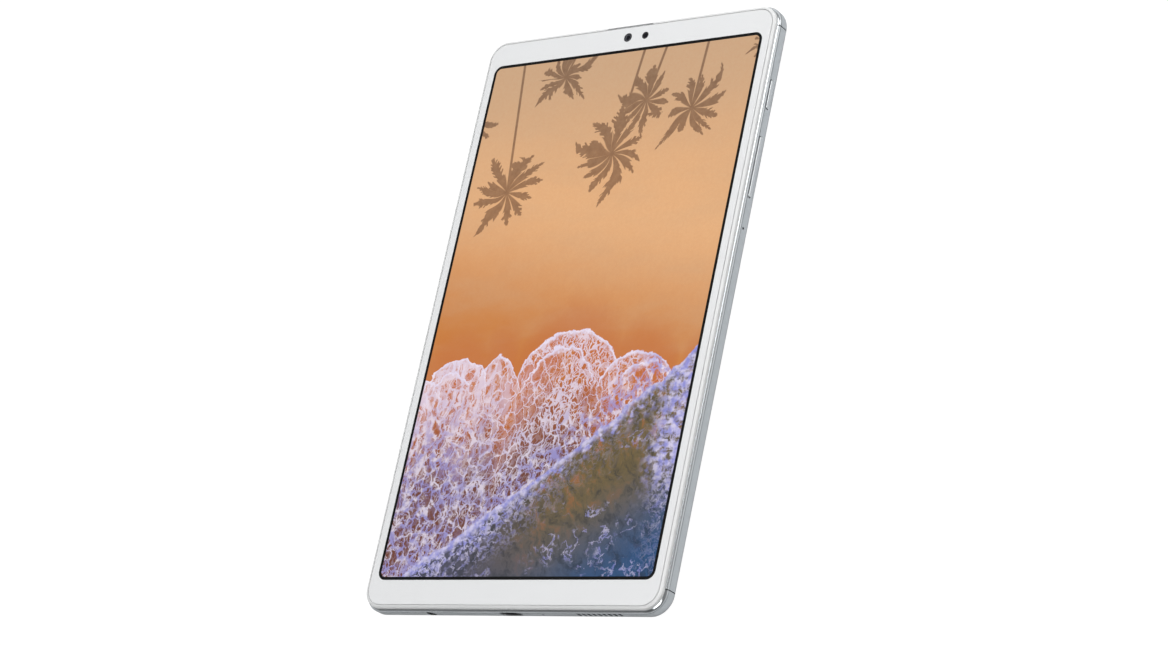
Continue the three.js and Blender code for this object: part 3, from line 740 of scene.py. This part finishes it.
def carve(obj, operation, *tools):
    """Cuts, joins or intersects obj with each tool, and removes the tools."""
    for tool in tools:
        modifier = obj.modifiers.new("carve", "BOOLEAN")
        modifier.operation = operation
        modifier.solver = "MANIFOLD"
        modifier.object = tool
    bpy.context.view_layer.update()
    graph = bpy.context.evaluated_depsgraph_get()
    result = bpy.data.meshes.new_from_object(obj.evaluated_get(graph))
    obj.modifiers.clear()
    obj.data = result
    for tool in tools:
        bpy.data.objects.remove(tool)
    return obj


def smooth(obj, limit=32):
    """Smooth shading with sharp edges kept where faces meet at more than limit degrees."""
    shaped = bmesh.new()
    shaped.from_mesh(obj.data)
    for face in shaped.faces:
        face.smooth = True
    for edge in shaped.edges:
        edge.smooth = len(edge.link_faces) == 2 and edge.calc_face_angle(0) < math.radians(limit)
    shaped.to_mesh(obj.data)
    shaped.free()
    normals = obj.modifiers.new("even_normals", "WEIGHTED_NORMAL")
    normals.keep_sharp = True
    return obj


def chamfer(obj, width, limit=50):
    """Eases the sharp edges of a solid."""
    bevel = obj.modifiers.new("eased_edges", "BEVEL")
    bevel.width = width * MM
    bevel.segments = 2
    bevel.limit_method = "ANGLE"
    bevel.angle_limit = math.radians(limit)
    bevel.use_clamp_overlap = True
    return obj


def paint(obj, materials):
    """Fills a piece's material slots; a carved piece comes with one empty slot."""
    if obj.data.materials and obj.data.materials[0] is None:
        obj.data.materials.clear()
    if not obj.data.materials:
        for material in materials:
            obj.data.materials.append(material)


def dress(obj, slot, *materials, body="tablet_body", replaces=()):
    """Gives a piece its materials, its body and the CAD nodes it stands for; slot is not used."""
    paint(obj, materials)
    smooth(obj)
    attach(obj, body)
    if replaces:
        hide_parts(*replaces)
    return obj


# ---- casing ----

def arc(steps, start=0.0, end=90.0):
    return [math.radians(start + (end - start) * step / steps) for step in range(steps + 1)]


def body_solid(name):
    """The metal body as one solid, from the flat back up to the shoulder."""
    levels = [(REAR_ROUND * (1 - math.sin(a)), REAR_ROUND * (1 - math.cos(a))) for a in arc(14)]
    groove = SHOULDER_FROM - GROOVE_HEIGHT
    levels += [(0, groove), (GROOVE_DEPTH, groove + GROOVE_EASE)]
    levels += [(GROOVE_DEPTH, groove + GROOVE_HEIGHT - GROOVE_EASE), (LIP, groove + GROOVE_HEIGHT)]
    rise = SHELL_TOP - SHOULDER_FROM
    for step in range(1, SHOULDER_STEPS + 1):
        share = step / SHOULDER_STEPS
        levels.append((LIP + (SHOULDER_INSET - LIP) * share ** 2, SHOULDER_FROM + rise * share))
    return build(name, [at_z(outline(inset), z) for inset, z in levels])


def cavity_solid(name):
    reach = REAR_ROUND - WALL
    rise = REAR_ROUND - FLOOR
    levels = [(REAR_ROUND - reach * math.sin(a), REAR_ROUND - rise * math.cos(a)) for a in arc(8)]
    levels.append((WALL, GLASS_TOP))
    return build(name, [at_z(outline(inset), z) for inset, z in levels])


def slab_y(y0, y1):
    """A block right across the tablet, used to take one stretch of it."""
    side = HALF_W + 5
    top = GLASS_TOP + 5
    square = [(-side, -5), (side, -5), (side, top), (-side, top)]
    return build("stretch", [at_y(square, y1), at_y(square, y0)])


def stadium(width, height, centre, grow=0.0, radius=None):
    """Slot outline, grown outwards by grow."""
    tall = height + 2 * grow
    wide = width + 2 * grow
    corner = min((min(width, height) * 0.49 if radius is None else radius) + grow, min(tall, wide) * 0.499)
    return rounded_rect(wide, tall, corner, centre, 8)


def flared_hole(shape, place, surface_at, outwards, depth=4.0, flare=0.08):
    """Cutter for a hole with an eased mouth; shape(grow) gives its outline."""
    inner = surface_at - outwards * depth
    levels = [(inner, 0), (surface_at - outwards * flare, 0), (surface_at + outwards, flare + 1)]
    return build("cutter", [place(shape(grow), position) for position, grow in levels])


def key_hole(node):
    """Cutter for the slot round a side key."""
    low, high = box(node)
    wide = high.y - low.y - 2 * KEY_MARGIN + 2 * KEY_GAP
    tall = KEY_HEIGHT + 2 * KEY_GAP
    middle = middle_of(node).yz
    return flared_hole(lambda grow: stadium(wide, tall, middle, grow, tall * KEY_ROUND), at_x, HALF_W, 1)


def speaker_slots(node, outwards):
    """Cutters for the row of slots in front of a loudspeaker's mesh."""
    low, high = box(node)
    count, wide, tall, margin, z = SPEAKER_SLOTS
    first = low.x + margin
    last = high.x - margin
    places = [(first + (last - first) * i / (count - 1), z) for i in range(count)]
    return [
        flared_hole(lambda grow: stadium(wide, tall, place, grow), at_y, outwards * HALF_H, outwards)
        for place in places
    ]


def round_hole(radius, centre, place, surface_at, outwards, depth=4.0):
    """Cutter for a round hole with an eased mouth."""
    return flared_hole(lambda grow: circle(radius + grow, centre, 24), place, surface_at, outwards, depth)


def tray_face_centre():
    return (box("card_tray")[0].y + TRAY_FACE[0] / 2, middle_of("card_tray").z)


def tray_hole():
    wide, tall = (size + 0.3 for size in TRAY_FACE)
    centre = tray_face_centre()
    return flared_hole(lambda grow: stadium(wide, tall, centre, grow, 1.0), at_x, -HALF_W, -1)


def darken_seams(obj):
    """Gives the second, dark material to the groove and to the end faces along the seams: painted shade in
    the groove, and a dark joint with painted shade in the seam gaps.
    """
    groove = SHOULDER_FROM - GROOVE_HEIGHT / 2
    shaped = bmesh.new()
    shaped.from_mesh(obj.data)
    for face in shaped.faces:
        centre = face.calc_center_median() / MM
        in_seam = abs(face.normal.y) > 0.9 and abs(abs(centre.y) - SEAM_Y) < 2 * SEAM_GAP
        in_groove = abs(centre.z - groove) < GROOVE_HEIGHT / 2 - 0.005
        if in_seam or in_groove:
            face.material_index = 1
    shaped.to_mesh(obj.data)
    shaped.free()


def rear_shell(material, dark_joint_and_shade):
    ends = (SHELL_LOW.y + SEAM_WIDER, SHELL_HIGH.y - SEAM_WIDER)
    shell = carve(body_solid("metal_back"), "INTERSECT", slab_y(*ends))
    carve(
        shell, "DIFFERENCE",
        cavity_solid("cavity"), key_hole("power_key"), key_hole("volume_key"), tray_hole(),
        round_hole(MIC_HOLE, middle_of("side_microphone").yz, at_x, HALF_W, 1),
        round_hole(CAMERA_HOLE, middle_of("rear_camera_body").xy, at_z, 0, -1, 2.0),
    )
    paint(shell, [material, dark_joint_and_shade])
    darken_seams(shell)
    chamfer(shell, SEAM_EASE)
    return dress(shell, "shell_metal", material, replaces=["rear_shell"])


def end_cap(name, node, outwards, material, dark_joint_and_shade, ports=()):
    low, high = box(node)
    if outwards > 0:
        low.y += SEAM_WIDER
    else:
        high.y -= SEAM_WIDER
    cap = carve(body_solid(name), "INTERSECT", slab_y(low.y, high.y))
    slots = speaker_slots("top_speaker_mesh" if outwards > 0 else "bottom_speaker_mesh", outwards)
    carve(cap, "DIFFERENCE", cavity_solid("cavity"), *slots, *ports)
    paint(cap, [material, dark_joint_and_shade])
    darken_seams(cap)
    chamfer(cap, SEAM_EASE)
    return dress(cap, "cap_paint", material, replaces=[node])


def bottom_ports():
    """Cutters for the USB receptacle, the audio jack and the microphone."""
    usb_low, usb_high = box("usb_c_shell")
    usb = middle_of("usb_c_shell").xz
    jack = middle_of("headphone_jack").xz
    mic = middle_of("bottom_microphone")
    jack_low, jack_high = box("headphone_jack")
    room = block(
        "jack_room", (jack_low.x - 0.15, jack_low.y - 0.15, jack_low.z - 0.15),
        (jack_high.x + 0.15, jack_high.y, jack_high.z + 1.5),
    )
    wide = usb_high.x - usb_low.x + 0.2
    tall = usb_high.z - usb_low.z + 0.2
    usb_mouth = flared_hole(lambda grow: stadium(wide, tall, usb, grow), at_y, -HALF_H, -1, flare=0.15)
    jack_mouth = flared_hole(
        lambda grow: circle(JACK_BORE + 0.05 + grow, jack, 48), at_y, -HALF_H, -1, flare=0.2,
    )
    mic_mouth = round_hole(MIC_HOLE, (mic.x, mic.z + 0.2), at_y, -HALF_H, -1)
    return [usb_mouth, jack_mouth, mic_mouth, room]


def front_rim(material):
    """White plastic frame round the glass, with the earpiece slot in its top side."""
    foot, radius, degrees = RIM_BEND
    crown = [(RIM_INSET, RIM_FOOT), (RIM_INSET, foot - 0.1)]
    for angle in arc(6, 0, degrees):
        crown.append((RIM_INSET + radius * (1 - math.cos(angle)), foot + radius * math.sin(angle)))
    crown += [(RIM_INNER - 0.25, RIM_CREST - 0.01), (RIM_INNER - 0.08, RIM_CREST)]
    crown.append((RIM_INNER, RIM_CREST - 0.08))
    loops = [at_z(outline(inset), z) for inset, z in crown + RIM_LEDGES]
    rim = build("plastic_rim", loops, closed=True)
    low, high = box("earpiece_mesh")
    slot = block("slot", (low.x - 0.15, low.y - 0.22, 6.6), (high.x + 0.15, high.y + 0.1, 9), 0.45, 0.01)
    carve(rim, "DIFFERENCE", slot)
    chamfer(rim, 0.04, 60)
    return dress(rim, "white_frame", material, replaces=["front_frame"])


# ---- screen ----

def glass_plate(face, under):
    levels = [(0, GLASS_BOTTOM)] + [(inset, GLASS_TOP - depth) for inset, depth in GLASS_EDGE]
    loops = [at_z(outline(GLASS_INSET + inset), z) for inset, z in levels]
    plate = build("glass_plate", loops[::-1], materials=[0, 0, 0, 0, 1])
    return dress(plate, "cover_glass", face, under, replaces=["cover_glass"])


def glass_print(white, black):
    """Ink behind the glass: a white border, and a black line round the window."""
    bottom, top = PRINT
    edge = outline(GLASS_INSET + 0.04)
    border = rounded_rect(*BLACK_BORDER)
    window = rounded_rect(*WINDOW)
    loops = [at_z(edge, bottom), at_z(edge, top), at_z(border, top)]
    loops += [at_z(window, top), at_z(window, bottom), at_z(border, bottom)]
    ink = build("border_print", loops, closed=True, materials=[0, 0, 1, 1, 1, 0])
    paint(ink, [white, black])
    holes = [
        turned("hole", [(radius, bottom - 1), (radius, top + 1)], middle_of(node).xy)
        for radius, node in ((FRONT_LENS, "front_camera"), (SENSOR_WINDOW, "light_sensor"))
    ]
    carve(ink, "DIFFERENCE", *holes)
    return dress(ink, "cover_glass", white, black)


def lit_panel(picture_material, edge_material):
    bottom = PANEL_HIGH.z + 0.02
    area = rounded_rect(*LIT_AREA)
    panel = build("lit_screen", [at_z(area, bottom), at_z(area, PICTURE_TOP)], materials=[1, 0])
    return dress(panel, "screen_panel", picture_material, edge_material)


def front_lens(black, ring, glass):
    """Front camera behind its round window: black well, grey ring and a small lens."""
    centre = middle_of("front_camera").xy
    top = box("front_camera")[1].z
    rim = FRONT_LENS + 0.25
    radius, foot = FRONT_WELL[-1]
    dome = [(radius * math.cos(a), foot + 0.12 * math.sin(a)) for a in arc(6, 10, 85)]
    profile = [(rim, top), (rim, PRINT[0] - 0.02)] + FRONT_WELL + dome
    lens = turned("front_camera_lens", profile, centre, [0, 0, 1, 1, 1] + [2] * 8)
    return dress(lens, "lens_black", black, ring, glass)


def sensor_window(black, glass):
    """Round window of the light sensor: black, with a small well in its middle."""
    top = box("light_sensor")[1].z
    rim = SENSOR_WINDOW + 0.25
    profile = [(rim, top + 0.02), (rim, PRINT[0] - 0.02)] + SENSOR_WELL
    window = turned("sensor_window", profile, middle_of("light_sensor").xy, [0, 0, 0, 1, 1])
    return dress(window, "lens_black", black, glass)


# ---- side keys and card tray ----

def side_key(name, node, material, plungers):
    """Key cap with a softly crowned face, the flange behind the wall and its plungers."""
    low, high = box(node)
    inner, outer = KEY_FLANGE
    wide = high.y - low.y - 2 * KEY_MARGIN
    middle = middle_of(node).yz
    levels = [(outer - 0.1, 0)] + [(high.x - depth, grow) for depth, grow in KEY_CROWN]
    cap = build(name, [
        at_x(stadium(wide, KEY_HEIGHT, middle, grow, KEY_HEIGHT * KEY_ROUND), x) for x, grow in levels
    ])
    flange = block("flange", (inner, low.y, low.z), (outer, high.y, high.z), 0.1, 0.05)
    pins = []
    for offset in plungers:
        centre = (middle[0] + offset, middle[1])
        steps = [(low.x, -0.08), (low.x + 0.08, 0), (inner + 0.2, 0)]
        pins.append(build("pin", [at_x(circle(0.6 + grow, centre, 24), x) for x, grow in steps]))
    carve(cap, "UNION", flange, *pins)
    return dress(cap, "key_metal", material, body=node, replaces=[node])


def card_tray(material):
    """Tray with its outer face flush with the side wall, pin hole and card opening."""
    low, high = box("card_tray")
    level = middle_of("card_tray").z
    (first, last), (under, over) = TRAY_ARMS

    def across(name, span, margin, z0, z1, *eased):
        """Block over the width of the arms, less a margin on each side."""
        corner = (span[0], low.y + first + margin, z0)
        return block(name, corner, (span[1], low.y + last - margin, z1), *eased)

    centre = tray_face_centre()
    face = build("tray", [at_x(stadium(*TRAY_FACE, centre, 0, 0.9), x) for x in (-HALF_W - 1, TRAY_BACK)])
    carve(face, "INTERSECT", body_solid("limit"))
    arms = across("arms", (TRAY_BACK - 0.1, high.x), 0, level + under, level + over, 0.6, 0.05)
    carve(face, "UNION", arms)
    window = across("window", TRAY_WINDOW, 0.6, level + under - 1, level + over + 1, 0.5)
    ledge = across("ledge", TRAY_LEDGE, 0.35, level + over - 0.25, 9, 0.5)
    radius, y = PIN_HOLE
    carve(face, "DIFFERENCE", window, ledge, round_hole(radius, (y, level - 0.1), at_x, -HALF_W, -1))
    face.name = "card_drawer"
    return dress(face, "tray_metal", material, body="card_tray", replaces=["card_tray"])


# ---- ports ----

def usb_shell(material):
    low, high = box("usb_c_shell")
    middle = middle_of("usb_c_shell").xz
    wide = high.x - low.x
    tall = high.z - low.z
    section = [(0, low.y + 0.08), (0, high.y), (-USB_WALL, high.y), (-USB_WALL, low.y + 0.1)]
    section += [(-USB_WALL + 0.04, low.y + 0.03), (-USB_WALL / 2, low.y), (-0.05, low.y + 0.02)]
    loops = [at_y(stadium(wide, tall, middle, grow), y) for grow, y in section]
    shell = build("usb_shell", loops, closed=True)
    return dress(shell, "steel", material, replaces=["usb_c_shell"])


def usb_tongue(plastic, gold):
    """Tongue of the receptacle, with a row of contacts on each face."""
    low, high = box("usb_c_tongue")
    middle = middle_of("usb_c_tongue")
    rear = high.y - 0.9
    size = (high.x - low.x, high.z - low.z)
    base = build("usb_blade", [at_y(stadium(*size, middle.xz), y) for y in (high.y, rear)])
    half, thick = USB_BLADE
    faces = (middle.z - thick, middle.z + thick)
    blade = block("blade", (-half, low.y, faces[0]), (half, rear + 0.3, faces[1]), 0.3, 0.12)
    carve(base, "UNION", blade)
    dress(base, "dark_plastic", plastic, replaces=["usb_c_tongue"])
    usb_contacts(gold, low.y + 0.5, rear, faces)


def usb_contacts(gold, front, rear, faces):
    half, relief = USB_PIN
    shaped = bmesh.new()
    for z in faces:
        for i in range(USB_PINS):
            x = (i - (USB_PINS - 1) / 2) * USB_PITCH
            pad = block("pad", (x - half, front, z - relief), (x + half, rear, z + relief), 0.04, 0.015)
            shaped.from_mesh(pad.data)
            bpy.data.objects.remove(pad)
    mesh = bpy.data.meshes.new("usb_contacts")
    shaped.to_mesh(mesh)
    shaped.free()
    dress(add_object("usb_contacts", mesh), "steel", gold)


def audio_jack(plastic, gold):
    """Housing of the 3.5 mm socket with a turned ring at its mouth."""
    low, high = box("headphone_jack")
    centre = middle_of("headphone_jack").xz
    housing = block("audio_socket", low, high, 0.5, 0.1)
    bore = flared_hole(lambda grow: circle(JACK_BORE + grow, centre, 48), at_y, low.y, -1, 12.2, 0.1)
    carve(housing, "DIFFERENCE", bore)
    dress(housing, "dark_plastic", plastic, replaces=["headphone_jack"])
    loops = [at_y(circle(JACK_BORE + past, centre, 48), low.y + depth) for past, depth in CONTACT_RING]
    dress(build("jack_contact", loops, closed=True), "steel", gold)


# ---- rear camera ----

def rear_camera(metal, black, glass, coating):
    centre = middle_of("rear_camera_body").xy
    trim = turned("lens_trim", TRIM_RING, centre, closed=True, steps=96)
    dress(trim, "shell_metal", metal, replaces=["camera_trim_ring"])
    window = turned("lens_window", REAR_PANE, centre, [0, 0, 0], steps=96)
    dress(window, "lens_black", glass, replaces=["camera_window"])
    radius, foot, rise = REAR_DOME
    dome = [(radius * math.cos(a), foot - rise * math.sin(a)) for a in arc(8, 8, 86)]
    lens = turned("lens_barrel", REAR_FUNNEL + dome, centre, [0] * 8 + [1] * 9, steps=96)
    dress(lens, "lens_black", black, coating, body="lens_carrier", replaces=["rear_camera_barrel"])


# ---- CAD nodes that stay ----

def slot_materials():
    """Material for each slot of the record, for the CAD nodes that stay in view or inside."""
    return {
        "steel": brushed("sheet_steel", linear(168, 169, 172), 0.32),
        "cast_frame": surface("cast_alloy", linear(118, 121, 124), 0.5, 0.5, 0.02, Metallic=0.85),
        "flex_film": flexible("flex_film"),
        "circuit_board": circuit("solder_mask"),
        "chip_resin": surface("chip_resin", linear(36, 36, 38), 0.62, 0.15, 0.008),
        "battery_pouch": foil("battery_foil"),
        "dark_plastic": surface("dark_plastic", linear(42, 43, 46), 0.5, 0.2, 0.01),
        "optical_sheet": diffusing("optical_sheet"),
        "screen_panel": surface("panel_edge", linear(26, 27, 30), 0.3, 0.3, 0.003),
        "lens_black": surface("lens_housing", linear(18, 18, 20), 0.3, 0.2, 0.004),
        "woven_mesh": woven("woven_mesh", linear(14, 14, 15), linear(150, 152, 155)),
        "gasket_rubber": surface("gasket_rubber", linear(58, 59, 61), 0.85, 0.25, 0.015),
        "adhesive": surface("adhesive_tape", linear(30, 30, 32), 0.8, 0.4, 0.01),
    }


def dress_frame(materials):
    """Puts the slot materials on the CAD nodes that stay; the earpiece gets a paler copy of the mesh,
    painted light against the shade of its deep slot.
    """
    # paler holes and wires than the loudspeaker mesh: painted light on a mesh that lies in the shade of its
    # slot
    painted_light_mesh = woven("earpiece_weave_painted_light", linear(96, 97, 99), linear(206, 208, 210))
    for subpart in frame["record"]["subparts"]:
        material = materials.get(subpart["material_slot"])
        if subpart["node"] == "earpiece_mesh":
            material = painted_light_mesh
        obj = frame["nodes"][subpart["node"]]
        if material and not obj.hide_render:
            obj.data.materials.clear()
            obj.data.materials.append(material)


# ---- scene ----

def add_floor():
    """White table that glows where the camera sees it directly, which lightens its shadows there; in
    reflections it is a darker grey, painted shade for the metal that mirrors it.
    """
    graph = Graph("table_top", Roughness=0.75, Specular_IOR_Level=0.2)
    grain = graph.noise(0.8, 4)
    rays = graph.tree.nodes.new("ShaderNodeLightPath")
    seen = Field(graph, rays.outputs["Is Camera Ray"])
    mirrored = Field(graph, rays.outputs["Is Glossy Ray"])
    pale = graph.mix(grain, (0.68, 0.68, 0.68, 1), (0.72, 0.72, 0.72, 1))
    # in reflections the table is a darker grey: painted shade for the metal walls that mirror it
    graph.colour(graph.mix(mirrored, pale, (0.5, 0.51, 0.52, 1)))
    glow, share = FLOOR_SEEN
    lamp = graph.node("Emission", {"Strength": glow})
    inputs = {0: seen * share, 1: graph.shader.outputs[0], 2: lamp.outputs[0]}
    table_top = graph.show(graph.node("MixShader", inputs))
    bpy.ops.mesh.primitive_plane_add(size=12, location=(0, 0, FLOOR_LEVEL))
    floor = bpy.context.object
    floor.name = "floor"
    floor.data.materials.append(table_top)


def build_body(metal, dark_joint_and_shade):
    finish = surface("metal_paint", linear(210, 214, 217), 0.14, 0.1, 0.002, 0.03, Metallic=0.92)
    white = surface("white_plastic", linear(212, 213, 213), 0.45, 0.15, 0.002, 0.02, Specular_IOR_Level=0.2)
    rear_shell(metal, dark_joint_and_shade)
    end_cap("top_cap", "top_end_cap", 1, finish, dark_joint_and_shade)
    end_cap("bottom_cap", "bottom_end_cap", -1, finish, dark_joint_and_shade, bottom_ports())
    front_rim(white)


def build_screen(slots, coating):
    """Glass, ink and picture, with the windows of the front camera and the sensor."""
    ink = surface("white_ink", linear(222, 223, 224), 0.5, 0.3, 0.001, 0.012)
    black_ink = surface("black_ink", linear(6, 6, 7), 0.5, 0.3, 0.001, Specular_IOR_Level=0.08)
    tint = surface("lens_ring", linear(74, 76, 82), 0.4, 0.2, 0.003, Metallic=0.2)
    glass_plate(clear_glass("clear_glass", (1, 1, 1, 1)), pass_through("clear_under"))
    glass_print(ink, black_ink)
    lit_panel(picture(), slots["screen_panel"])
    front_lens(slots["lens_black"], tint, coating)
    sensor_window(slots["lens_black"], coating)


def build_fittings(slots, metal, bright):
    """Keys, card tray and ports."""
    gold = surface("gold_plate", linear(214, 172, 96), 0.25, 0.2, 0.002, Metallic=1.0)
    side_key("power_button", "power_key", bright, [0])
    side_key("volume_button", "volume_key", bright, [-8, 8])
    card_tray(metal)
    usb_shell(slots["steel"])
    usb_tongue(slots["dark_plastic"], gold)
    audio_jack(slots["dark_plastic"], gold)


def build_tablet():
    slots = slot_materials()
    metal = surface("blasted_metal", linear(214, 218, 221), 0.24, 0.1, 0.002, 0.03, Metallic=0.95)
    bright = surface("bright_metal", linear(226, 229, 231), 0.34, 0.1, 0.002, 0.03, Metallic=0.95)
    coating = surface("lens_coating", linear(9, 9, 20), 0.08, 0.5, 0.0005, Specular_IOR_Level=0.3)
    # the dark adhesive material also stands for painted shade in the groove and in the seams of the casing
    build_body(metal, slots["adhesive"])
    build_screen(slots, coating)
    build_fittings(slots, metal, bright)
    smoked = clear_glass("smoked_glass", (0.6, 0.6, 0.62, 1))
    rear_camera(bright, slots["lens_black"], smoked, coating)
    dress_frame(slots)


add_camera()
add_lights()
add_floor()
build_tablet()
